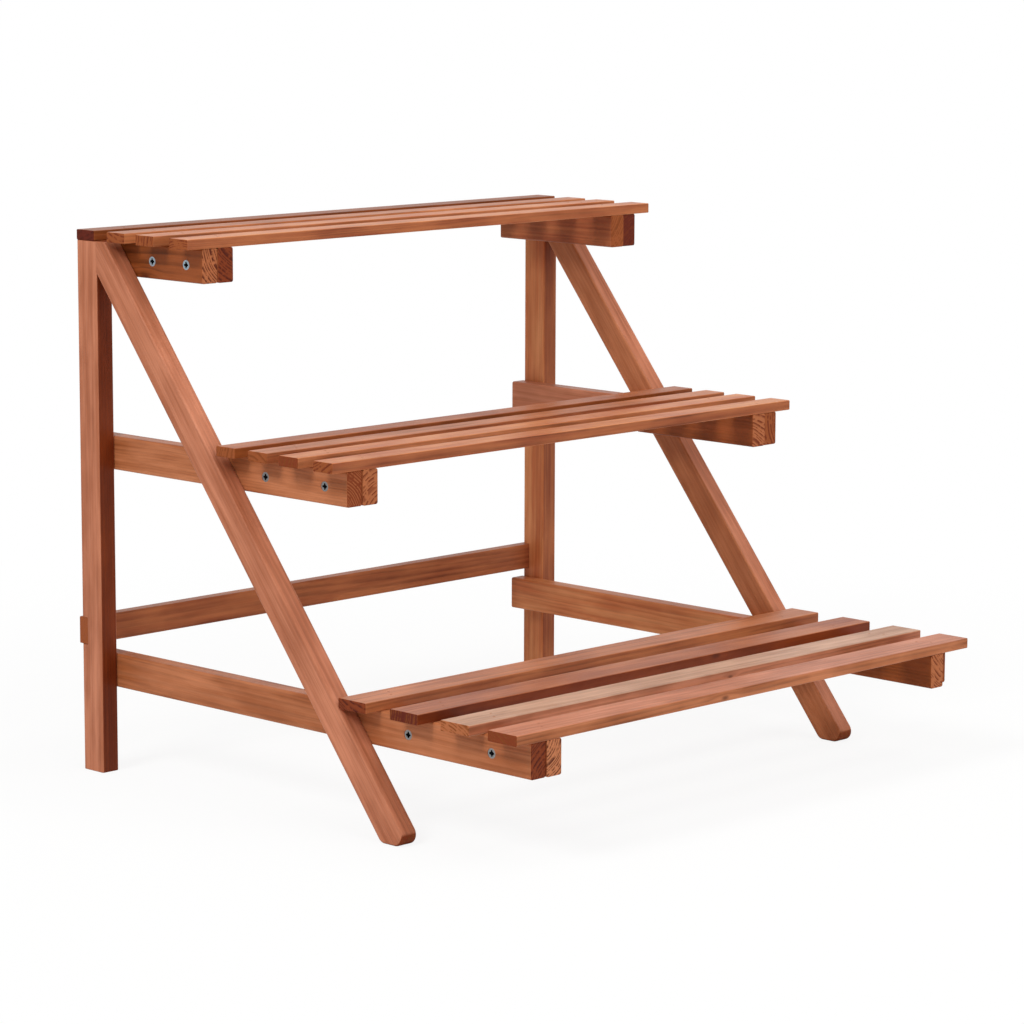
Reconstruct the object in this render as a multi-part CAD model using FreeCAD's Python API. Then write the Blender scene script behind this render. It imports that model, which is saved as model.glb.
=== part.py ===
import FreeCAD, Part
import math
import os

# A tiered plant stand of planed, stained softwood bars. Two side frames, each a rear post, a leaning
# front leg and three rails, carry three slatted shelves that step forward as they go down.
# The frame of the model: +X to the right, +Z up, the front towards -Y, and the origin on the floor
# under the middle of the stand. "Forward" is the distance in front of the posts' rear faces.


# ---- Driving sizes, in mm ----

# The whole stand
stand_width = 480.0             # over the posts' outer faces, and the length of each slat
stand_height = 400.0            # floor to the top of the top shelf

# Side frames: post and leg lie in one layer, the rails in the next one inwards
frame_thickness = 15.0          # posts and legs, across the stand
post_depth = 22.0               # rear post, front to back
leg_width = 22.0                # front leg, square to its lean
leg_lean = 38.77                # degrees from upright
leg_head_land = 9.0             # flat top of the leg, in front of the post
heel_radius = 7.0               # rounded rear corner of the leg's foot
toe_radius = 7.0                # rounded front corner of the leg's foot
rail_thickness = 14.0
rail_height = 25.0              # rails, and the cleats beside them
cleat_thickness = 14.0

# Rear crossbar, let into notches in the posts' rear faces
crossbar_thickness = 9.5
crossbar_height = 20.0
crossbar_floor_gap = 94.5       # floor to the bar's underside
crossbar_proud = 3.0            # how far it stands out behind the posts
notch_clearance = 0.1           # above and below the bar

# Shelves
slat_thickness = 7.5
narrow_slat_width = 19.5        # top and middle shelves
wide_slat_width = 27.0          # bottom shelf
middle_shelf_top = 257.0
bottom_shelf_top = 95.0
top_slat_gaps = (14.5, 12.5, 17.5)
middle_slat_gaps = (14.0, 12.5, 15.5)
bottom_slat_gaps = (24.0, 22.0, 17.5)
middle_leg_gap = 5.5            # leg's front face to the first slat, at the slat's underside
bottom_leg_gap = 0.5
rail_end_setback = 1.0          # rail's front end behind its cleat's front end
short_rail_end_setback = 9.0    # the same, for the bottom rail on the right, which is cut short

# Eased edges
bar_arris_radius = 1.6          # long edges of posts, legs, rails and cleats
slat_arris_radius = 0.7         # long edges of slats and crossbar
end_ease_radius = 0.6           # round the sawn ends

# Countersunk screws with a cross recess
screw_shank_radius = 2.0
screw_head_radius = 3.5
screw_tip_length = 3.0
screw_head_sink = 0.2           # head below the wood's face
screw_cleat_bite = 11.0         # thread in the cleat
screw_post_bite = 10.0          # thread in the post, behind the crossbar
recess_length = 4.6             # across the cross
recess_width = 1.3
recess_depth = 1.0              # of the arms; the eye runs on down to a point
recess_eye_radius = 1.7
screw_hole_clearance = 0.15     # round the shank, in the bar that the screw pulls up
pilot_clearance = 0.02          # round the shank, in the bar that it bites
pilot_end_clearance = 0.5       # below the tip
top_screw_setbacks = (19.0, 56.0)       # behind the shelf's front edge
middle_screw_setbacks = (24.0, 85.0)
bottom_screw_setbacks = (38.0, 118.0)

# Brads that hold the slats down on the cleats
brad_shank_radius = 0.6
brad_head_radius = 0.9
brad_head_height = 0.8
brad_sink = 0.1                 # head below the slat's top
brad_cleat_bite = 9.0           # stops above the shelf screws
brad_stagger_across = 3.0       # each side of the cleat's middle, across the stand
brad_stagger_forward = 4.5      # each side of the slat's middle line
brad_clearance = 0.02

# Blind dowels between the rails and the posts and legs
dowel_radius = 3.0
dowel_post_depth = 9.0
dowel_rail_depth = 9.0
dowel_clearance = 0.03
dowel_end_clearance = 0.5


# ---- Places worked out from the sizes ----

sides = {"left": -1, "right": 1}
half_width = stand_width / 2
post_inner_x = half_width - frame_thickness
rail_inner_x = post_inner_x - rail_thickness
cleat_inner_x = rail_inner_x - cleat_thickness
frame_head_z = stand_height - slat_thickness
lean_run = math.tan(math.radians(leg_lean))
leg_level_width = leg_width / math.cos(math.radians(leg_lean))
leg_head_forward = post_depth + leg_head_land


def leg_front(z):
    """Forward distance of the leg's front face at a height."""
    return leg_head_forward + (frame_head_z - z) * lean_run


def leg_rear(z):
    """Forward distance of the leg's rear face at a height, where it isn't cut against the post."""
    return leg_front(z) - leg_level_width


def plan_shelf(name, top, rear, slat_width, slat_gaps, cleat_rear, screw_setbacks):
    """Places of one shelf's slats, cleats and screws, from the height of its top and its rear edge."""
    slat_rears = [rear]
    for gap in slat_gaps:
        slat_rears.append(slat_rears[-1] + slat_width + gap)
    front = slat_rears[-1] + slat_width
    underside = top - slat_thickness
    return {
        "name": name,
        "top": top,
        "underside": underside,
        "rail_bottom": underside - rail_height,
        "rail_middle": underside - rail_height / 2,
        "slat_rears": slat_rears,
        "slat_width": slat_width,
        "front": front,
        "cleat_rear": cleat_rear,
        "screws": [front - setback for setback in screw_setbacks],
    }


middle_rear = leg_front(middle_shelf_top - slat_thickness) + middle_leg_gap
bottom_rear = leg_front(bottom_shelf_top - slat_thickness) + bottom_leg_gap
shelves = [
    plan_shelf("top", stand_height, 0.0, narrow_slat_width, top_slat_gaps, 0.0, top_screw_setbacks),
    plan_shelf("middle", middle_shelf_top, middle_rear, narrow_slat_width, middle_slat_gaps,
               middle_rear, middle_screw_setbacks),
    plan_shelf("bottom", bottom_shelf_top, bottom_rear, wide_slat_width, bottom_slat_gaps,
               bottom_rear, bottom_screw_setbacks),
]
stand_depth = shelves[-1]["front"] + crossbar_proud
rear_face_y = stand_depth / 2 - crossbar_proud

rightward = FreeCAD.Vector(1, 0, 0)
rearward = FreeCAD.Vector(0, 1, 0)
up = FreeCAD.Vector(0, 0, 1)


# ---- Shared shapes ----

def point(x, forward, z):
    """A point given by its distance forward of the posts' rear faces."""
    return FreeCAD.Vector(x, rear_face_y - forward, z)


def box(x_span, forward_span, z_span):
    """A box between two planes each way."""
    x_low, x_high = sorted(x_span)
    corner = point(x_low, forward_span[1], z_span[0])
    return Part.makeBox(x_high - x_low, forward_span[1] - forward_span[0], z_span[1] - z_span[0], corner)


def reach_along(edge, direction):
    """How far an edge's box reaches along one axis of the frame."""
    bounds = edge.BoundBox
    return FreeCAD.Vector(bounds.XLength, bounds.YLength, bounds.ZLength).dot(direction)


def eased_bar(x_span, forward_span, z_span, direction, arris_radius):
    """A planed bar along one axis: its long arrises rounded, and its sawn ends eased."""
    hair = 1e-6
    bar = box(x_span, forward_span, z_span)
    long_edges = [edge for edge in bar.Edges if reach_along(edge, direction) > hair]
    bar = bar.makeFillet(arris_radius, long_edges)
    end_edges = [edge for edge in bar.Edges if reach_along(edge, direction) < hair]
    return bar.makeFillet(end_ease_radius, end_edges)


def set_along(shape, place, direction):
    """A shape made along +Z from the origin, turned to a direction and put in place."""
    turned = shape.copy()
    turned.Placement = FreeCAD.Placement(place, FreeCAD.Rotation(up, direction))
    return turned


def turned_solid(outline):
    """A solid of revolution about Z from (radius, height) points that start and end on the axis."""
    points = [FreeCAD.Vector(radius, 0, height) for radius, height in outline]
    face = Part.Face(Part.makePolygon(points + [points[0]]))
    return face.revolve(FreeCAD.Vector(0, 0, 0), up, 360)


def save(name, solids):
    """One STEP file for a node: a bar, or a group of like fasteners."""
    shape = solids[0] if len(solids) == 1 else Part.makeCompound(solids)
    shape.exportStep(os.path.join("parts", name + ".step"))


# ---- Fasteners, each with the hole it needs ----

def countersunk_screw(length):
    """A countersunk screw from its head's face at the origin down to its tip at +Z."""
    cone_height = screw_head_radius - screw_shank_radius
    body = turned_solid([
        (0, 0),
        (screw_head_radius, 0),
        (screw_shank_radius, cone_height),
        (screw_shank_radius, length - screw_tip_length),
        (0, length),
    ])
    recess = Part.makeCone(recess_eye_radius, 0, recess_depth + recess_eye_radius)
    for long_side, short_side in ((recess_length, recess_width), (recess_width, recess_length)):
        corner = FreeCAD.Vector(-long_side / 2, -short_side / 2, 0)
        recess = recess.fuse(Part.makeBox(long_side, short_side, recess_depth, corner))
    return body.cut(recess)


def countersunk_hole(depth):
    """The clear hole and the countersink in the bar that a screw pulls up; its face is at the origin."""
    mouth = screw_head_radius + screw_head_sink
    shank = Part.makeCylinder(screw_shank_radius + screw_hole_clearance, depth)
    return shank.fuse(Part.makeCone(mouth, 0, mouth))


def pilot_hole(bite):
    """The hole for a screw's thread in the bar that it bites."""
    return Part.makeCylinder(screw_shank_radius + pilot_clearance, bite + pilot_end_clearance)


def brad():
    """A headed brad from its head's face at the origin down to its tip at +Z."""
    length = slat_thickness - brad_sink + brad_cleat_bite
    return turned_solid([
        (0, 0),
        (brad_head_radius, 0),
        (brad_head_radius, brad_head_height),
        (brad_shank_radius, brad_head_height),
        (brad_shank_radius, length - brad_head_radius),
        (0, length),
    ])


def brad_hole():
    """The way that a driven brad leaves in slat and cleat, from the slat's top down."""
    head_depth = brad_sink + brad_head_height
    full_depth = slat_thickness + brad_cleat_bite + brad_clearance
    head = Part.makeCylinder(brad_head_radius + brad_clearance, head_depth)
    return head.fuse(Part.makeCylinder(brad_shank_radius + brad_clearance, full_depth))


def dowel_hole(depth):
    """A blind hole for one end of a dowel, from the face that it opens in."""
    return Part.makeCylinder(dowel_radius + dowel_clearance, depth + dowel_end_clearance)


# ---- Side frames ----

def dowel_places(shelf, side):
    """Middles of a rail's two dowels, on the face between the rail and the post and leg."""
    middle = shelf["rail_middle"]
    leg_middle = (max(leg_rear(middle), post_depth) + leg_front(middle)) / 2
    return [point(side * post_inner_x, forward, middle) for forward in (post_depth / 2, leg_middle)]


def drill_for_dowels(bar, side, away, depth, places):
    """Drill a bar for its dowels, away from the face that it shares; away is given for the right side."""
    for place in places:
        bar = bar.cut(set_along(dowel_hole(depth), place, away * side))
    return bar


def rear_post(side):
    """An upright post with its top under the top shelf and a notch for the crossbar at the rear."""
    x_span = (side * post_inner_x, side * half_width)
    post = eased_bar(x_span, (0, post_depth), (0, frame_head_z), up, bar_arris_radius)
    notch_floor = crossbar_thickness - crossbar_proud
    notch_span = (crossbar_floor_gap - notch_clearance,
                  crossbar_floor_gap + crossbar_height + notch_clearance)
    post = post.cut(box(x_span, (-crossbar_proud, notch_floor), notch_span))
    screw_place = crossbar_screw_place(side) + rearward * (-crossbar_thickness)
    post = post.cut(set_along(pilot_hole(screw_post_bite), screw_place, rearward * -1))
    post_dowels = [dowel_places(shelf, side)[0] for shelf in shelves]
    return drill_for_dowels(post, side, rightward, dowel_post_depth, post_dowels)


def leg_arrises(blank, throat_z):
    """The edges down both faces of a leg and round its foot, but not those of its two head cuts."""
    hair = 1e-3
    arrises = []
    for edge in blank.Edges:
        bounds = edge.BoundBox
        in_head_cut = bounds.ZMin > frame_head_z - hair or (
            bounds.YLength < hair and bounds.ZMin > throat_z - hair)
        if bounds.XLength < hair and not in_head_cut:
            arrises.append(edge)
    return arrises


def front_leg(side):
    """A leaning leg: cut upright against the post, level under the top shelf and on the floor."""
    x_face = side * post_inner_x
    throat_z = frame_head_z - (leg_level_width - leg_head_land) / lean_run
    outline = [
        point(x_face, post_depth, frame_head_z),
        point(x_face, leg_head_forward, frame_head_z),
        point(x_face, leg_front(0), 0),
        point(x_face, leg_rear(0), 0),
        point(x_face, post_depth, throat_z),
    ]
    blank = Part.Face(Part.makePolygon(outline + [outline[0]])).extrude(rightward * (side * frame_thickness))
    for corner, radius in ((outline[2], toe_radius), (outline[3], heel_radius)):
        hair = 1e-3
        foot_edges = [edge for edge in blank.Edges
                      if reach_along(edge, rightward) > hair
                      and abs(edge.CenterOfMass.y - corner.y) < hair
                      and abs(edge.CenterOfMass.z - corner.z) < hair]
        blank = blank.makeFillet(radius, foot_edges)
    leg = blank.makeFillet(bar_arris_radius, leg_arrises(blank, throat_z))
    leg_dowels = [dowel_places(shelf, side)[1] for shelf in shelves]
    return drill_for_dowels(leg, side, rightward, dowel_post_depth, leg_dowels)


def rail(shelf, name, side):
    """A level rail, from the posts' rear faces to just behind the front of its shelf."""
    is_short = shelf["name"] == "bottom" and name == "right"
    setback = short_rail_end_setback if is_short else rail_end_setback
    x_span = (side * rail_inner_x, side * post_inner_x)
    z_span = (shelf["rail_bottom"], shelf["underside"])
    bar = eased_bar(x_span, (0, shelf["front"] - setback), z_span, rearward, bar_arris_radius)
    for forward in shelf["screws"]:
        place = point(side * post_inner_x, forward, shelf["rail_middle"])
        bar = bar.cut(set_along(countersunk_hole(rail_thickness), place, rightward * -side))
    return drill_for_dowels(bar, side, rightward * -1, dowel_rail_depth, dowel_places(shelf, side))


def crossbar_screw_place(side):
    """Middle of a crossbar screw, on the bar's rear face behind a post."""
    x = side * (post_inner_x + half_width) / 2
    return point(x, -crossbar_proud, crossbar_floor_gap + crossbar_height / 2)


def rear_crossbar():
    """The bar that ties the two posts together low down at the rear, flush with their outer faces."""
    forward_span = (-crossbar_proud, crossbar_thickness - crossbar_proud)
    z_span = (crossbar_floor_gap, crossbar_floor_gap + crossbar_height)
    bar = eased_bar((-half_width, half_width), forward_span, z_span, rightward, slat_arris_radius)
    for side in sides.values():
        hole = countersunk_hole(crossbar_thickness)
        bar = bar.cut(set_along(hole, crossbar_screw_place(side), rearward * -1))
    return bar


# ---- Shelves ----

def brad_places(shelf, slat_rear, side):
    """Where a slat's two brads start, on its top, over the middle of a cleat."""
    cleat_middle = side * (rail_inner_x + cleat_inner_x) / 2
    slat_middle = slat_rear + shelf["slat_width"] / 2
    return [point(cleat_middle + step * side * brad_stagger_across,
                  slat_middle + step * brad_stagger_forward, shelf["top"]) for step in (-1, 1)]


def cleat(shelf, side):
    """The batten under one end of a shelf's slats, screwed to the inner face of the rail."""
    x_span = (side * cleat_inner_x, side * rail_inner_x)
    z_span = (shelf["rail_bottom"], shelf["underside"])
    forward_span = (shelf["cleat_rear"], shelf["front"])
    bar = eased_bar(x_span, forward_span, z_span, rearward, bar_arris_radius)
    for forward in shelf["screws"]:
        place = point(side * rail_inner_x, forward, shelf["rail_middle"])
        bar = bar.cut(set_along(pilot_hole(screw_cleat_bite), place, rightward * -side))
    for slat_rear in shelf["slat_rears"]:
        for place in brad_places(shelf, slat_rear, side):
            bar = bar.cut(set_along(brad_hole(), place, up * -1))
    return bar


def slat(shelf, slat_rear):
    """One slat, the full width of the stand, resting on both cleats."""
    forward_span = (slat_rear, slat_rear + shelf["slat_width"])
    z_span = (shelf["underside"], shelf["top"])
    bar = eased_bar((-half_width, half_width), forward_span, z_span, rightward, slat_arris_radius)
    for side in sides.values():
        for place in brad_places(shelf, slat_rear, side):
            bar = bar.cut(set_along(brad_hole(), place, up * -1))
    return bar


def shelf_screws(shelf):
    """The screws that hold a shelf's cleats to the rails, two at each end."""
    screw = countersunk_screw(rail_thickness + screw_cleat_bite - screw_head_sink)
    head_x = post_inner_x - screw_head_sink
    return [set_along(screw, point(side * head_x, forward, shelf["rail_middle"]), rightward * -side)
            for side in sides.values() for forward in shelf["screws"]]


def slat_brads(shelf):
    """The brads that hold a shelf's slats to its cleats, two at each crossing."""
    sink = up * brad_sink
    return [set_along(brad(), place - sink, up * -1)
            for slat_rear in shelf["slat_rears"]
            for side in sides.values()
            for place in brad_places(shelf, slat_rear, side)]


def crossbar_screws():
    """The two screws that hold the crossbar in the posts' notches, from the rear."""
    screw = countersunk_screw(crossbar_thickness + screw_post_bite - screw_head_sink)
    sink = rearward * screw_head_sink
    return [set_along(screw, crossbar_screw_place(side) - sink, rearward * -1)
            for side in sides.values()]


def rail_dowels():
    """The blind dowels of both side frames, half in the rails and half in the posts and legs."""
    dowel = Part.makeCylinder(dowel_radius, dowel_rail_depth + dowel_post_depth)
    into_rail = rightward * dowel_rail_depth
    return [set_along(dowel, place - into_rail * side, rightward * side)
            for side in sides.values()
            for shelf in shelves
            for place in dowel_places(shelf, side)]


# ---- The nodes ----

os.makedirs("parts", exist_ok=True)

for name, side in sides.items():
    save("rear_post_" + name, [rear_post(side)])
    save("front_leg_" + name, [front_leg(side)])
    for shelf in shelves:
        save(shelf["name"] + "_rail_" + name, [rail(shelf, name, side)])
        save(shelf["name"] + "_cleat_" + name, [cleat(shelf, side)])
save("rear_crossbar", [rear_crossbar()])
save("rail_dowels", rail_dowels())
save("crossbar_screws", crossbar_screws())
for shelf in shelves:
    for number, slat_rear in enumerate(shelf["slat_rears"], start=1):
        save(shelf["name"] + "_slat_" + str(number), [slat(shelf, slat_rear)])
    save(shelf["name"] + "_shelf_screws", shelf_screws(shelf))
    save(shelf["name"] + "_slat_brads", slat_brads(shelf))

print("stand depth", round(stand_depth, 2), "mm")
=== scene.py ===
"""The looks of a small three-tiered plant stand of stained fir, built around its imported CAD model.
Names that end in _mm hold millimetres. The scene itself is in metres, in the CAD model's frame."""

import math

import bpy
from mathutils import Matrix, Vector


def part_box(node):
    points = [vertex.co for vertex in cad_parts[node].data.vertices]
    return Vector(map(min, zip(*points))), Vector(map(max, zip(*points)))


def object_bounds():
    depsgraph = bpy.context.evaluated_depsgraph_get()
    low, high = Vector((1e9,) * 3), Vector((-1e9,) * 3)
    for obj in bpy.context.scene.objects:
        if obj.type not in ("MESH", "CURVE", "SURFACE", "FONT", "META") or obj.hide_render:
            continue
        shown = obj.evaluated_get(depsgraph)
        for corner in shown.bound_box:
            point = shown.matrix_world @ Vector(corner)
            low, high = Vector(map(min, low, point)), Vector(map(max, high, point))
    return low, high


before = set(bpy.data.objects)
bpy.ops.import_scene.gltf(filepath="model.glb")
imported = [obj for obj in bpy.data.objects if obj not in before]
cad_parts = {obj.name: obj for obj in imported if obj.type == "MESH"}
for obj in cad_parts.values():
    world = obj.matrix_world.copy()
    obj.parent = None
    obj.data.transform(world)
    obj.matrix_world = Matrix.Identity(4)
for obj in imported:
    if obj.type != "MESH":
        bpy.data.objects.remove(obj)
cad_low, cad_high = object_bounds()
MM = 0.001


# ---- Rear posts ----
# Two upright fir bars, 15 x 22 mm, planed on four sides with eased arrises and dipped in a red-brown
# stain. They stand on their sawn lower ends, and the rails are dowelled to their inner faces.

def linear(hex_colour):
    """The linear colour of an sRGB hex value such as "#a35c3c", with alpha."""
    shares = [int(hex_colour[i:i + 2], 16) / 255 for i in (1, 3, 5)]
    return [s / 12.92 if s <= 0.04045 else ((s + 0.055) / 1.055) ** 2.4 for s in shares] + [1.0]


def add_node(tree, kind, inputs, output=0, **settings):
    """Adds a node with its settings, fills or links its inputs, and gives back one of its outputs."""
    made = tree.nodes.new(kind)
    for name, value in settings.items():
        setattr(made, name, value)
    for name, value in inputs.items():
        if isinstance(value, bpy.types.NodeSocket):
            tree.links.new(value, made.inputs[name])
        else:
            made.inputs[name].default_value = value
    return made.outputs[output] if made.outputs else None


def mix(tree, share, first, second):
    """A mix of two colours: a share of 0 is the first, and 1 the second. A Mix node's sockets for
    colours are its inputs 6 and 7 and its output 2."""
    return add_node(tree, "ShaderNodeMix", {0: share, 6: first, 7: second}, 2, data_type="RGBA")


def new_material(name):
    """An empty node material, and its tree."""
    made = bpy.data.materials.new(name)
    made.use_nodes = True
    made.node_tree.nodes.clear()
    return made, made.node_tree


def dress(node_name, material):
    """Gives every material slot of a CAD node this material."""
    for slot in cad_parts[node_name].material_slots:
        slot.material = material


# How a bar lies: each matrix turns the Z axis onto the bar's length.
UPRIGHT = Matrix.Identity(3)
ALONG_X = Matrix.Rotation(math.radians(90), 3, "Y")
ALONG_Y = Matrix.Rotation(math.radians(-90), 3, "X")


# How the one red-brown stain took on different boards, from sapwood that drank little of it to wood
# that drank much: first on the paler streaks and then on the deeper ones. The bars' sides also take
# colours from here as painted light and shade.
stain_and_shade_tones = {
    "straw": ("#cca084", "#b48468"),
    "honey": ("#d08858", "#c06c40"),
    "salmon": ("#c88060", "#b06848"),
    "copper": ("#c07850", "#a86038"),
    "chestnut": ("#b06840", "#985030"),
    "russet": ("#985028", "#804018"),
    "mahogany": ("#803818", "#702c10"),
    "oxblood": ("#602010", "#501808"),
}


def planed_fir(node_name, lie, pith_mm, wide, sawn, narrow=None, figure=0.12, ring_mm=2.6,
               slope=(0.5, -0.4), knots=()):
    """Stained fir, sawn and planed: one block of growth rings, cut by every face of the bar.
    It gives long satin streaks on the sides, whose faint ring lines run on into the sawn ends, where
    they show more, because end grain drinks more stain. pith_mm leads from the bar's middle to the
    middle of the tree. wide and narrow name the colours on the bar's wide and narrow sides. They hold
    the stain, which a side sawn another way out of the tree takes differently, and painted light and
    shade as well: darker where a side lies in shade, such as a slat's front under the next slat, and
    lighter where the lamps reach a side less. sawn names the stain on early and late wood at the ends.
    figure is how much the late wood darkens the sides, and slope is how far the grain runs off the
    bar's length, in degrees. A knot is its place from the bar's middle and its radius, in millimetres."""
    material, tree = new_material("stained_fir_planed_" + node_name)
    low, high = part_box(node_name)
    middle_mm = (low + high) / 2 / MM
    slope_x, slope_y = (math.radians(degrees) for degrees in slope)
    turn = lie @ Matrix.Rotation(slope_x, 3, "X") @ Matrix.Rotation(slope_y, 3, "Y")
    # Each bar comes from another height in the tree, so that no two show the same figure. The number of
    # materials made so far tells the bars apart.
    height_step_mm = 777
    up_the_tree = turn @ Vector((0, 0, height_step_mm * len(bpy.data.materials)))
    pith_mm = Vector(pith_mm) - up_the_tree

    # Place in the tree, in millimetres: Z runs up the trunk, and X and Y lie across it.
    place = add_node(tree, "ShaderNodeTexCoord", {}, "Object")
    wood = add_node(tree, "ShaderNodeMapping", {
        "Vector": place, "Location": (middle_mm + pith_mm) * MM, "Rotation": turn.to_euler(),
        "Scale": (MM, MM, MM),
    }, vector_type="TEXTURE")

    # A trunk isn't a true cylinder: its rings wander a few millimetres over each 40 mm across.
    wander_mm = 40
    wander_by_mm = (9, 9, 0)
    slow = add_node(tree, "ShaderNodeVectorMath", {0: wood, 1: (1, 1, 0.13)}, operation="MULTIPLY")
    wander = add_node(tree, "ShaderNodeTexNoise", {"Vector": slow, "Scale": 1 / wander_mm, "Detail": 2.0},
                      "Color")
    wander = add_node(tree, "ShaderNodeVectorMath", {0: wander, 1: (0.5, 0.5, 0.5)}, operation="SUBTRACT")
    wander = add_node(tree, "ShaderNodeVectorMath", {0: wander, 1: wander_by_mm}, operation="MULTIPLY")
    grain = add_node(tree, "ShaderNodeVectorMath", {0: wood, 1: wander}, operation="ADD")
    across = add_node(tree, "ShaderNodeVectorMath", {0: grain, 1: (1, 1, 0)}, operation="MULTIPLY")
    radius = add_node(tree, "ShaderNodeVectorMath", {0: across}, "Value", operation="LENGTH")

    # A pin knot is a bud that the tree grew over: a dark smudge that the rings swell round, two and a
    # half times as long up the trunk as across.
    knot = None
    knot_brown = "#4b2013"
    for seen_at_mm, knot_mm in knots:
        seen_at = turn.inverted() @ (Vector(seen_at_mm) - pith_mm)
        beside = add_node(tree, "ShaderNodeVectorMath", {0: wood, 1: seen_at}, operation="SUBTRACT")
        beside = add_node(tree, "ShaderNodeVectorMath", {0: beside, 1: (1, 1, 0.4)}, operation="MULTIPLY")
        beside = add_node(tree, "ShaderNodeVectorMath", {0: beside}, "Value", operation="LENGTH")
        swell = add_node(tree, "ShaderNodeMapRange", {
            "Value": beside, "From Min": knot_mm * 5, "From Max": 0.0, "To Max": knot_mm * 1.5,
        }, interpolation_type="SMOOTHERSTEP")
        radius = add_node(tree, "ShaderNodeMath", {0: radius, 1: swell}, operation="ADD")
        core = add_node(tree, "ShaderNodeMapRange", {
            "Value": beside, "From Min": knot_mm * 1.4, "From Max": knot_mm * 0.2, "To Max": 0.7,
        }, interpolation_type="SMOOTHSTEP")
        if knot is not None:
            core = add_node(tree, "ShaderNodeMath", {0: knot, 1: core}, operation="MAXIMUM")
        knot = core

    # A year's ring starts pale, darkens slowly to hard late wood, and stops short at the winter.
    uneven_mm = 9
    uneven = add_node(tree, "ShaderNodeTexNoise", {"W": radius, "Scale": 1 / uneven_mm, "Detail": 1.0},
                      noise_dimensions="1D")
    uneven = add_node(tree, "ShaderNodeMath", {0: uneven, 1: 3.5}, operation="MULTIPLY")
    years = add_node(tree, "ShaderNodeMath", {0: radius, 1: 1 / ring_mm, 2: uneven},
                     operation="MULTIPLY_ADD")
    season = add_node(tree, "ShaderNodeMath", {0: years}, operation="FRACT")
    summer = add_node(tree, "ShaderNodeMapRange", {"Value": season, "From Min": 0.25, "From Max": 0.9},
                      interpolation_type="SMOOTHSTEP")
    winter = add_node(tree, "ShaderNodeMapRange", {"Value": season, "From Min": 1.0, "From Max": 0.9})
    late_wood = add_node(tree, "ShaderNodeMath", {0: summer, 1: winter}, operation="MULTIPLY")

    # Fibres are 0.04 mm wide, too fine to show, so they are drawn 0.7 mm wide and about 60 mm long.
    # Streaks are 4 mm wide and about 90 mm long, and blotches of stain are 20 mm across and 60 mm long.
    fibre_mm = 0.7
    streak_mm = 4
    blotch_mm = 20
    thread = add_node(tree, "ShaderNodeVectorMath", {0: grain, 1: (1, 1, 0.012)}, operation="MULTIPLY")
    fibres = add_node(tree, "ShaderNodeTexNoise", {
        "Vector": thread, "Scale": 1 / fibre_mm, "Detail": 3.0, "Roughness": 0.65,
    })
    thread = add_node(tree, "ShaderNodeVectorMath", {0: grain, 1: (1, 1, 0.045)}, operation="MULTIPLY")
    streaks = add_node(tree, "ShaderNodeTexNoise", {"Vector": thread, "Scale": 1 / streak_mm, "Detail": 3.0})
    patch = add_node(tree, "ShaderNodeVectorMath", {0: wood, 1: (1, 1, 0.33)}, operation="MULTIPLY")
    blotches = add_node(tree, "ShaderNodeTexNoise", {"Vector": patch, "Scale": 1 / blotch_mm, "Detail": 3.0})

    # The way the surface faces tells a sawn end from a planed side, and a wide side from a narrow one.
    # The crossbar stands on edge, so its wide sides count as narrow ones here.
    facing = add_node(tree, "ShaderNodeNewGeometry", {}, "Normal")
    facing = add_node(tree, "ShaderNodeMapping", {"Vector": facing, "Rotation": lie.to_euler()},
                      vector_type="TEXTURE")
    facing = add_node(tree, "ShaderNodeVectorMath", {0: facing}, operation="ABSOLUTE")
    facing_y = add_node(tree, "ShaderNodeSeparateXYZ", {0: facing}, "Y")
    facing_z = add_node(tree, "ShaderNodeSeparateXYZ", {0: facing}, "Z")
    narrow_side = add_node(tree, "ShaderNodeMapRange", {
        "Value": facing_y, "From Min": 0.8, "From Max": 0.98,
    }, interpolation_type="SMOOTHSTEP")
    end_grain = add_node(tree, "ShaderNodeMapRange", {"Value": facing_z, "From Min": 0.3, "From Max": 0.6},
                         interpolation_type="SMOOTHSTEP")

    # The rings come and go on the sides with the blotches, and at the ends with the streaks, where the
    # stain bit more or less. They show nearly twice as much on the narrow sides, where the saw met more
    # late wood.
    soaked = add_node(tree, "ShaderNodeMath", {0: streaks, 1: blotches}, operation="ADD")
    soaked = add_node(tree, "ShaderNodeMapRange", {"Value": soaked, "From Min": 0.78, "From Max": 1.22})
    # Wide and narrow sides get different colours: partly stain, and partly painted light and shade.
    side_colours = [
        mix(tree, soaked, linear(pale), linear(deep))
        for pale, deep in (stain_and_shade_tones[wide], stain_and_shade_tones[narrow or wide])
    ]
    side_colour = mix(tree, narrow_side, side_colours[0], side_colours[1])
    shown = add_node(tree, "ShaderNodeMapRange", {
        "Value": blotches, "From Min": 0.35, "From Max": 0.65,
        "To Min": -0.3 * figure, "To Max": -1.7 * figure,
    })
    denser = add_node(tree, "ShaderNodeMapRange", {"Value": narrow_side, "To Min": 1.0, "To Max": 1.8})
    shown = add_node(tree, "ShaderNodeMath", {0: shown, 1: denser}, operation="MULTIPLY")
    ring_tone = add_node(tree, "ShaderNodeMath", {0: late_wood, 1: shown, 2: 1.0}, operation="MULTIPLY_ADD")
    side_colour = add_node(tree, "ShaderNodeVectorMath", {0: side_colour, "Scale": ring_tone},
                           operation="SCALE")
    crisp = add_node(tree, "ShaderNodeMapRange", {"Value": streaks, "From Min": 0.38, "From Max": 0.5})
    crisp = add_node(tree, "ShaderNodeMath", {0: late_wood, 1: crisp}, operation="MULTIPLY")
    early = stain_and_shade_tones[sawn[0]][0]
    late = stain_and_shade_tones[sawn[1]][1]
    end_colour = mix(tree, crisp, linear(early), linear(late))
    colour = mix(tree, end_grain, side_colour, end_colour)
    if knot is not None:
        colour = mix(tree, knot, colour, linear(knot_brown))
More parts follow.
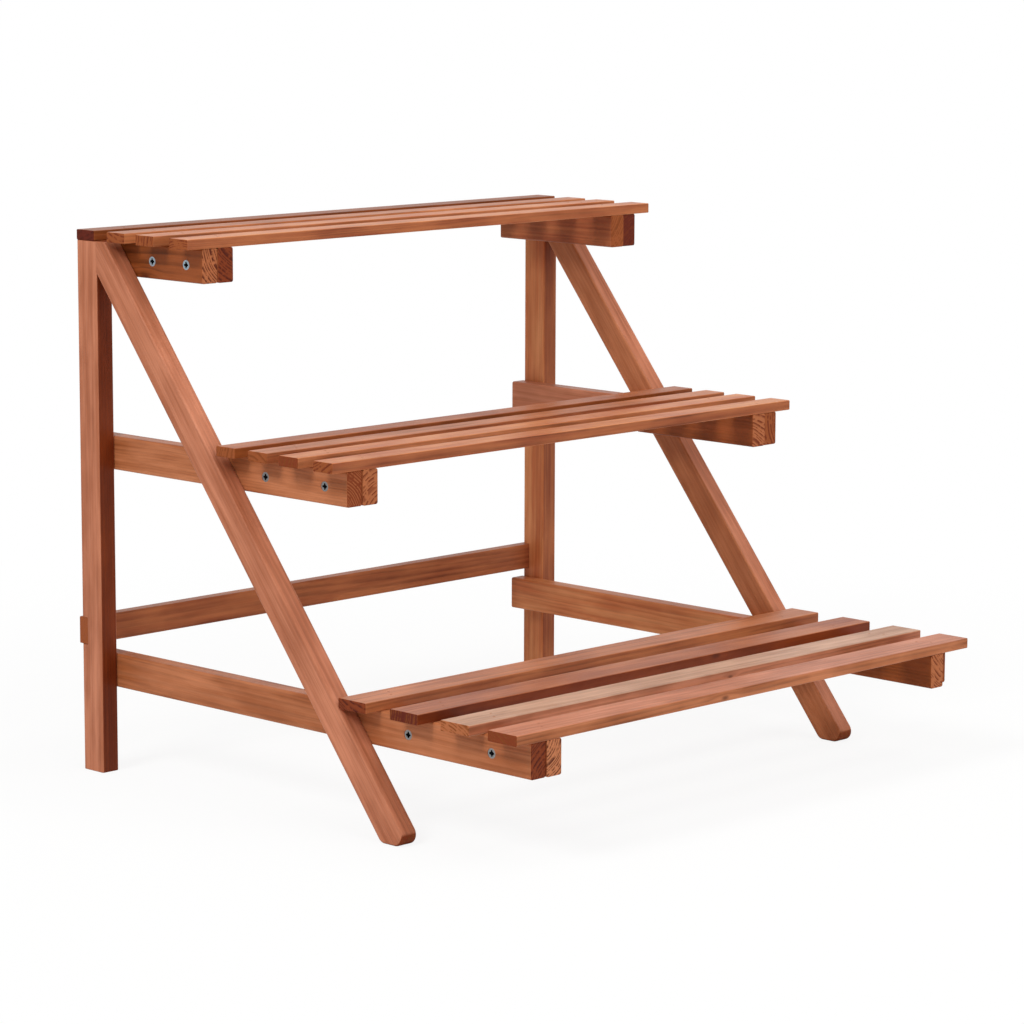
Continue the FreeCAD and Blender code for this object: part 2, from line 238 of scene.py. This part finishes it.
    # Where the noise is high, the wood drank more stain and is darker.
    for spread, strength in ((fibres, 0.45), (streaks, 0.1), (blotches, 0.25)):
        tone = add_node(tree, "ShaderNodeMath", {0: spread, 1: -strength, 2: 1 + strength / 2},
                        operation="MULTIPLY_ADD")
        colour = add_node(tree, "ShaderNodeVectorMath", {0: colour, "Scale": tone}, operation="SCALE")

    # Late wood is harder and stands a little proud. The planer leaves faint ripples along the bar, and
    # the saw leaves rougher lines across the ends.
    late_wood_proud_mm = 0.05
    fibre_height_mm = 0.09
    ripple_mm = 1.8
    ripple_height_mm = 0.002
    kerf_mm = 1.2
    kerf_depth_mm = 0.2
    along_bar = add_node(tree, "ShaderNodeSeparateXYZ", {0: wood}, "Z")
    ripple = add_node(tree, "ShaderNodeMath", {0: along_bar, 1: math.tau / ripple_mm}, operation="MULTIPLY")
    ripple = add_node(tree, "ShaderNodeMath", {0: ripple}, operation="SINE")
    kerf = add_node(tree, "ShaderNodeVectorMath", {0: wood, 1: (1, 0.08, 1)}, operation="MULTIPLY")
    kerf = add_node(tree, "ShaderNodeTexNoise", {"Vector": kerf, "Scale": 1 / kerf_mm, "Detail": 2.0})
    height_mm = add_node(tree, "ShaderNodeMath", {0: late_wood, 1: late_wood_proud_mm},
                         operation="MULTIPLY")
    height_mm = add_node(tree, "ShaderNodeMath", {0: fibres, 1: fibre_height_mm, 2: height_mm},
                         operation="MULTIPLY_ADD")
    side_mm = add_node(tree, "ShaderNodeMath", {0: ripple, 1: ripple_height_mm, 2: height_mm},
                       operation="MULTIPLY_ADD")
    end_mm = add_node(tree, "ShaderNodeMath", {0: kerf, 1: kerf_depth_mm, 2: height_mm},
                      operation="MULTIPLY_ADD")
    height_mm = add_node(tree, "ShaderNodeMix", {0: end_grain, 2: side_mm, 3: end_mm})
    relief = add_node(tree, "ShaderNodeBump", {"Height": height_mm, "Distance": MM, "Strength": 1.0})

    roughness = add_node(tree, "ShaderNodeMath", {0: fibres, 1: 0.3, 2: 0.23}, operation="MULTIPLY_ADD")
    roughness = add_node(tree, "ShaderNodeMath", {0: end_grain, 1: 0.3, 2: roughness},
                         operation="MULTIPLY_ADD")
    surface = add_node(tree, "ShaderNodeBsdfPrincipled", {
        "Base Color": colour, "Roughness": roughness, "Normal": relief,
        "IOR": 1.45, "Specular IOR Level": 0.2,
    })
    add_node(tree, "ShaderNodeOutputMaterial", {"Surface": surface})
    return material


post_looks = {
    "left": {"pith_mm": (34, -30, 0), "wide": "salmon", "narrow": "mahogany"},
    "right": {"pith_mm": (-38, -30, 0), "wide": "honey", "narrow": "chestnut"},
}
for side, look in post_looks.items():
    post = f"rear_post_{side}"
    dress(post, planed_fir(post, UPRIGHT, sawn=("mahogany", "russet"), figure=0.06, **look))


# ---- Front legs ----
# Two fir bars of the same section that lean from each post's head to the floor. The head is cut to fit
# the post, and the foot is sawn level and rounded at heel and toe.

leg_lean = math.radians(38.77)
LEANING = Matrix.Rotation(-leg_lean, 3, "X")
leg_looks = {
    "left": {"pith_mm": (26, -34, 20), "wide": "salmon", "narrow": "salmon"},
    "right": {"pith_mm": (-36, 20, -16), "wide": "copper", "narrow": "salmon"},
}
for side, look in leg_looks.items():
    leg = f"front_leg_{side}"
    dress(leg, planed_fir(leg, LEANING, sawn=("mahogany", "russet"), figure=0.06, **look))


# ---- Rails ----
# Six level fir bars, 14 x 25 mm, one under each side of each shelf. Each is dowelled blind to its post
# and leg, and its sawn front end shows beside the cleat's.

rail_looks = {
    "top_rail_left": {"pith_mm": (30, 0, 18), "wide": "russet", "sawn": ("chestnut", "oxblood"),
                      "figure": 0.3, "knots": (((-7, 2, -11), 2.2),)},
    "top_rail_right": {"pith_mm": (14, 0, -24), "wide": "chestnut", "sawn": ("oxblood", "mahogany")},
    "middle_rail_left": {"pith_mm": (-34, 0, -26), "wide": "copper", "sawn": ("mahogany", "copper"),
                         "ring_mm": 1.7},
    "middle_rail_right": {"pith_mm": (40, 0, 12), "wide": "salmon", "sawn": ("russet", "mahogany")},
    "bottom_rail_left": {"pith_mm": (28, 0, -30), "wide": "copper", "sawn": ("mahogany", "oxblood")},
    "bottom_rail_right": {"pith_mm": (-36, 0, 22), "wide": "honey", "sawn": ("russet", "mahogany")},
}
for rail, look in rail_looks.items():
    dress(rail, planed_fir(rail, ALONG_Y, **look))


def drawn_noise(tree, size_mm, detail):
    """Noise whose patches have these sizes along X, Y and Z."""
    place = add_node(tree, "ShaderNodeTexCoord", {}, "Object")
    drawn = add_node(tree, "ShaderNodeVectorMath", {
        0: place, 1: [1 / (size * MM) for size in Vector(size_mm)],
    }, operation="MULTIPLY")
    return add_node(tree, "ShaderNodeTexNoise", {"Vector": drawn, "Scale": 1.0, "Detail": detail})


# Beech dowels, turned and left bare: straight pale wood with short darker flecks. They are 18 mm long
# and 6 mm thick, and sit unseen in blind holes.
beech, tree = new_material("beech_turned_bare")
flecks = drawn_noise(tree, size_mm=(6, 1, 1), detail=3.0)
colour = mix(tree, flecks, linear("#dcb98e"), linear("#b98a5c"))
relief = add_node(tree, "ShaderNodeBump", {"Height": flecks, "Distance": 0.05 * MM})
surface = add_node(tree, "ShaderNodeBsdfPrincipled", {
    "Base Color": colour, "Roughness": 0.6, "Normal": relief, "IOR": 1.5,
})
add_node(tree, "ShaderNodeOutputMaterial", {"Surface": surface})
dress("rail_dowels", beech)


# ---- Rear crossbar ----
# One thin fir bar, 9.5 x 20 mm, let into a notch in each post's rear face, which it stands 3 mm proud
# of, and held there by a screw from behind. It keeps the two side frames square.

crossbar_look = {"pith_mm": (0, 30, 24), "wide": "chestnut", "sawn": ("russet", "chestnut")}
dress("rear_crossbar", planed_fir("rear_crossbar", ALONG_X, **crossbar_look))


# ---- Screws ----
# Countersunk cross-recess wood screws of zinc-plated steel: two through each rail into its cleat, and
# one through the crossbar into each post. They are driven into the wood with a cross-head bit.

def plated_zinc(group_name, axis, plating):
    """Zinc-plated steel, formed cold and plated after.
    The plating on the head's face has a fine frosting of crystals, between the two colours of
    plating. The cross recess is coloured near-black as painted shade. axis counts the screw's own
    axis: 0 is X and 1 is Y."""
    material, tree = new_material("steel_zinc_plated_" + group_name)
    place = add_node(tree, "ShaderNodeTexCoord", {}, "Object")
    crystal_mm = 0.6
    # Painted shade: the cross recess is coloured near-black, where light can't reach into it.
    recess_shade_dark = "#1d2024"
    crystals = add_node(tree, "ShaderNodeTexNoise", {"Vector": place, "Scale": 1 / (crystal_mm * MM),
                                                     "Detail": 2.0})
    head_face_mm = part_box(group_name)[1][axis] / MM
    along = add_node(tree, "ShaderNodeSeparateXYZ", {0: place}, "XYZ"[axis])
    along = add_node(tree, "ShaderNodeMath", {0: along}, operation="ABSOLUTE")
    depth_mm = add_node(tree, "ShaderNodeMath", {0: along, 1: -1 / MM, 2: head_face_mm},
                        operation="MULTIPLY_ADD")
    # Painted shade: this mask darkens everything below the head's face, inside the recess.
    recess = add_node(tree, "ShaderNodeMapRange", {"Value": depth_mm, "From Min": 0.05, "From Max": 0.25})
    frost = mix(tree, crystals, linear(plating[0]), linear(plating[1]))
    colour = mix(tree, recess, frost, linear(recess_shade_dark))
    roughness = add_node(tree, "ShaderNodeMath", {0: crystals, 1: 0.25, 2: 0.2}, operation="MULTIPLY_ADD")
    relief = add_node(tree, "ShaderNodeBump", {"Height": crystals, "Distance": 0.03 * MM})
    surface = add_node(tree, "ShaderNodeBsdfPrincipled", {
        "Base Color": colour, "Metallic": 1.0, "Roughness": roughness, "Normal": relief,
    })
    add_node(tree, "ShaderNodeOutputMaterial", {"Surface": surface})
    return material


# The top shelf's screws are coloured bright and bluish, and the others a darker grey.
bright_blue = ("#cfe0ec", "#a3bccc")
darker_grey = ("#a3a3a3", "#78787a")
for group, axis, plating in (
    ("top_shelf_screws", 0, bright_blue),
    ("middle_shelf_screws", 0, darker_grey),
    ("bottom_shelf_screws", 0, darker_grey),
    ("crossbar_screws", 1, darker_grey),
):
    dress(group, plated_zinc(group, axis, plating))


# ---- Cleats ----
# Six fir battens, 14 x 25 mm, one under the slats' ends on each side, screwed against the inner face of
# the rail. Their sawn front ends show growth rings.

cleat_looks = {
    "top_cleat_left": {"pith_mm": (20, 0, 30), "wide": "chestnut", "sawn": ("mahogany", "oxblood")},
    "top_cleat_right": {"pith_mm": (-24, 0, 20), "wide": "chestnut", "sawn": ("russet", "russet")},
    "middle_cleat_left": {"pith_mm": (16, 0, -26), "wide": "chestnut", "sawn": ("chestnut", "mahogany"),
                          "ring_mm": 3.6},
    "middle_cleat_right": {"pith_mm": (-16, 0, -34), "wide": "russet", "sawn": ("chestnut", "mahogany")},
    "bottom_cleat_left": {"pith_mm": (-22, 0, 24), "wide": "chestnut", "sawn": ("copper", "oxblood"),
                          "ring_mm": 2.4},
    "bottom_cleat_right": {"pith_mm": (30, 0, 34), "wide": "russet", "sawn": ("chestnut", "mahogany"),
                           "ring_mm": 2.2},
}
for cleat, look in cleat_looks.items():
    dress(cleat, planed_fir(cleat, ALONG_Y, **look))


# ---- Slats ----
# Twelve fir slats, 7.5 mm thick and 480 mm long, four to a shelf, laid across the cleats with gaps for
# water to run off. Each differs a little in figure and in how it took the stain, and the colours of its
# top and front also hold painted light and shade.

# A slat's narrow colour, on its front, holds painted light and shade as well as stain.
slat_looks = {
    "top_slat_1": {"pith_mm": (0, -22, -38), "wide": "russet", "narrow": "russet",
                   "sawn": ("oxblood", "oxblood")},
    "top_slat_2": {"pith_mm": (0, -12, 44), "wide": "copper", "narrow": "honey",
                   "sawn": ("russet", "mahogany")},
    "top_slat_3": {"pith_mm": (0, 40, 10), "wide": "honey", "narrow": "copper",
                   "sawn": ("russet", "mahogany")},
    "top_slat_4": {"pith_mm": (0, -8, -50), "wide": "honey", "narrow": "chestnut",
                   "sawn": ("russet", "mahogany")},
    "middle_slat_1": {"pith_mm": (0, 36, 14), "wide": "chestnut", "narrow": "russet",
                      "sawn": ("russet", "russet")},
    "middle_slat_2": {"pith_mm": (0, 14, -42), "wide": "copper", "narrow": "chestnut",
                      "sawn": ("russet", "russet")},
    "middle_slat_3": {"pith_mm": (0, -44, -12), "wide": "honey", "narrow": "copper",
                      "sawn": ("mahogany", "russet")},
    "middle_slat_4": {"pith_mm": (0, 20, 36), "wide": "honey", "narrow": "chestnut",
                      "sawn": ("russet", "mahogany")},
    "bottom_slat_1": {"pith_mm": (0, -16, 46), "wide": "copper", "narrow": "chestnut",
                      "sawn": ("mahogany", "oxblood")},
    "bottom_slat_2": {"pith_mm": (0, 60, 6), "wide": "chestnut", "narrow": "mahogany",
                      "sawn": ("oxblood", "russet"), "ring_mm": 3.4, "knots": (((63, -13.5, 1.7), 1.9),)},
    "bottom_slat_3": {"pith_mm": (0, 22, -48), "wide": "straw", "narrow": "salmon",
                      "sawn": ("chestnut", "russet"), "knots": (((23, -13.5, -0.7), 1.2),)},
    "bottom_slat_4": {"pith_mm": (0, -30, 40), "wide": "salmon", "narrow": "copper",
                      "sawn": ("mahogany", "russet"), "knots": (((-33, -13.5, -1.2), 1.6),)},
}
for slat, look in slat_looks.items():
    dress(slat, planed_fir(slat, ALONG_X, **look))

# Steel-wire brads, two at each crossing of slat and cleat, drawn, cut and headed cold. They are driven
# 0.1 mm below the slat's face before the stand is dipped, so stain covers their heads, and the wire
# below stays bare, with fine lines from the drawing.
wire, tree = new_material("steel_wire_drawn_stained_over")
lines = drawn_noise(tree, size_mm=(0.15, 0.15, 6), detail=2.0)
bare = mix(tree, lines, linear("#a8a49d"), linear("#7d7973"))
stain = mix(tree, lines, linear(stain_and_shade_tones["copper"][0]), linear(stain_and_shade_tones["copper"][1]))
facing = add_node(tree, "ShaderNodeNewGeometry", {}, "Normal")
facing_up = add_node(tree, "ShaderNodeSeparateXYZ", {0: facing}, "Z")
head_face = add_node(tree, "ShaderNodeMath", {0: facing_up, 1: 0.5}, operation="GREATER_THAN")
colour = mix(tree, head_face, bare, stain)
metal = add_node(tree, "ShaderNodeMath", {0: 1.0, 1: head_face}, operation="SUBTRACT")
roughness = add_node(tree, "ShaderNodeMath", {0: lines, 1: 0.3, 2: 0.3}, operation="MULTIPLY_ADD")
relief = add_node(tree, "ShaderNodeBump", {"Height": lines, "Distance": 0.02 * MM})
surface = add_node(tree, "ShaderNodeBsdfPrincipled", {
    "Base Color": colour, "Metallic": metal, "Roughness": roughness, "Normal": relief,
})
add_node(tree, "ShaderNodeOutputMaterial", {"Surface": surface})
for shelf in ("top", "middle", "bottom"):
    dress(f"{shelf}_slat_brads", wire)


# ---- Floor and backdrop ----
# A matt white studio floor that runs on into a white backdrop. It keeps the stand's soft shadow, and
# looks evenly white further out.

def camera_sees(tree):
    """The Light Path node's outputs, and 1 on rays that the camera sends, straight or through glass."""
    paths = tree.nodes.new("ShaderNodeLightPath").outputs
    seen = add_node(tree, "ShaderNodeMath", {0: paths["Is Camera Ray"], 1: paths["Is Transmission Ray"]},
                    operation="MAXIMUM")
    return paths, seen


floor_half = 30.0
floor_drop_mm = 0.1                 # just under the feet, so that no two faces share a plane
floor_mesh = bpy.data.meshes.new("studio_floor")
floor_mesh.from_pydata(
    [(x, y, 0) for x, y in ((-1, -1), (1, -1), (1, 1), (-1, 1))], [], [(0, 1, 2, 3)])
floor_mesh.transform(Matrix.Scale(floor_half, 4))
floor = bpy.data.objects.new("studio_floor", floor_mesh)
floor.location.z = -floor_drop_mm * MM
bpy.context.scene.collection.objects.link(floor)

paper, tree = new_material("paper_matt_white")
seen = camera_sees(tree)[1]
place = add_node(tree, "ShaderNodeTexCoord", {}, "Object")
outward = add_node(tree, "ShaderNodeVectorMath", {0: place}, "Value", operation="LENGTH")
glow = add_node(tree, "ShaderNodeMapRange", {
    "Value": outward, "From Min": 0.3, "From Max": 1.0, "To Min": 0.88, "To Max": 1.0,
}, interpolation_type="SMOOTHSTEP")
glow = add_node(tree, "ShaderNodeMath", {0: glow, 1: seen}, operation="MULTIPLY")
sheet = add_node(tree, "ShaderNodeBsdfDiffuse", {"Color": linear("#eeeeec"), "Roughness": 0.5})
white = add_node(tree, "ShaderNodeEmission", {"Color": linear("#ffffff"), "Strength": 1.0})
surface = add_node(tree, "ShaderNodeMixShader", {0: glow, 1: sheet, 2: white})
add_node(tree, "ShaderNodeOutputMaterial", {"Surface": surface})
floor_mesh.materials.append(paper)

# The white backdrop curves up behind the stand, to the right and the rear. The wood reflects it there at
# a flat angle, and reflects the dimmer room elsewhere.
world = bpy.data.worlds.new("studio_backdrop")
world.use_nodes = True
tree = world.node_tree
tree.nodes.clear()
room_light = 0.42
reflected_backdrop = 0.8
paths, seen = camera_sees(tree)
way = add_node(tree, "ShaderNodeTexCoord", {}, "Generated")
to_right_rear = (0.7, 0.7, 0.0)
behind = add_node(tree, "ShaderNodeVectorMath", {0: way, 1: to_right_rear}, "Value",
                  operation="DOT_PRODUCT")
behind = add_node(tree, "ShaderNodeMapRange", {
    "Value": behind, "From Min": 0.2, "From Max": 0.8, "To Max": reflected_backdrop,
}, interpolation_type="SMOOTHSTEP")
behind = add_node(tree, "ShaderNodeMath", {0: behind, 1: paths["Is Glossy Ray"]}, operation="MULTIPLY")
seen = add_node(tree, "ShaderNodeMath", {0: seen, 1: behind}, operation="MAXIMUM")
strength = add_node(tree, "ShaderNodeMapRange", {"Value": seen, "To Min": room_light, "To Max": 1.0})
backdrop = add_node(tree, "ShaderNodeBackground", {"Color": linear("#ffffff"), "Strength": strength})
add_node(tree, "ShaderNodeOutputWorld", {"Surface": backdrop})
bpy.context.scene.world = world


# ---- Studio lamps ----
# A large soft box overhead, one up on the left, which sets the slats' shadows on the rails, and two weak
# ones in front. Together they light a face about as brightly as its colour is written.

stand_middle = (cad_low + cad_high) / 2
lamps = {
    "overhead": {"place": (0.0, -0.8, 2.0), "side": 1.6, "watts": 14},
    "upper_left": {"place": (-3.2, -0.2, 3.1), "side": 1.4, "watts": 84},
    "front": {"place": (0.3, -2.3, 0.9), "side": 1.5, "watts": 8},
    "front_right": {"place": (1.6, -1.8, 1.9), "side": 1.5, "watts": 12},
}
for lamp_name, lamp in lamps.items():
    light = bpy.data.lights.new("softbox_" + lamp_name, "AREA")
    light.shape = "SQUARE"
    light.size = lamp["side"]
    light.energy = lamp["watts"]
    softbox = bpy.data.objects.new(light.name, light)
    softbox.location = lamp["place"]
    softbox.rotation_euler = (stand_middle - softbox.location).to_track_quat("-Z", "Y").to_euler()
    softbox.visible_camera = False
    bpy.context.scene.collection.objects.link(softbox)


# ---- Camera ----
# A long lens from the front left and a little above, found by matching the stand's corners to the
# photograph. It is aimed at a point near the stand's middle.

aim = Vector((2.5, 17.4, 188.8)) * MM
camera_distance = 2.8154
heading = math.radians(-45.53)      # looks this far round from +Y: minus is clockwise, seen from above
dip = math.radians(9.131)
roll = math.radians(0.191)
sensor_mm = 36
lens_mm = 133.63
camera = bpy.data.objects.new("camera", bpy.data.cameras.new("camera"))
camera.data.sensor_width = sensor_mm
camera.data.lens = lens_mm
camera.matrix_world = (
    Matrix.Translation(aim)
    @ Matrix.Rotation(heading, 4, "Z")
    @ Matrix.Rotation(math.radians(90) - dip, 4, "X")
    @ Matrix.Rotation(roll, 4, "Z")
    @ Matrix.Translation((0, 0, camera_distance))
)
bpy.context.scene.collection.objects.link(camera)
bpy.context.scene.camera = camera
bpy.context.scene.view_settings.view_transform = "Standard"
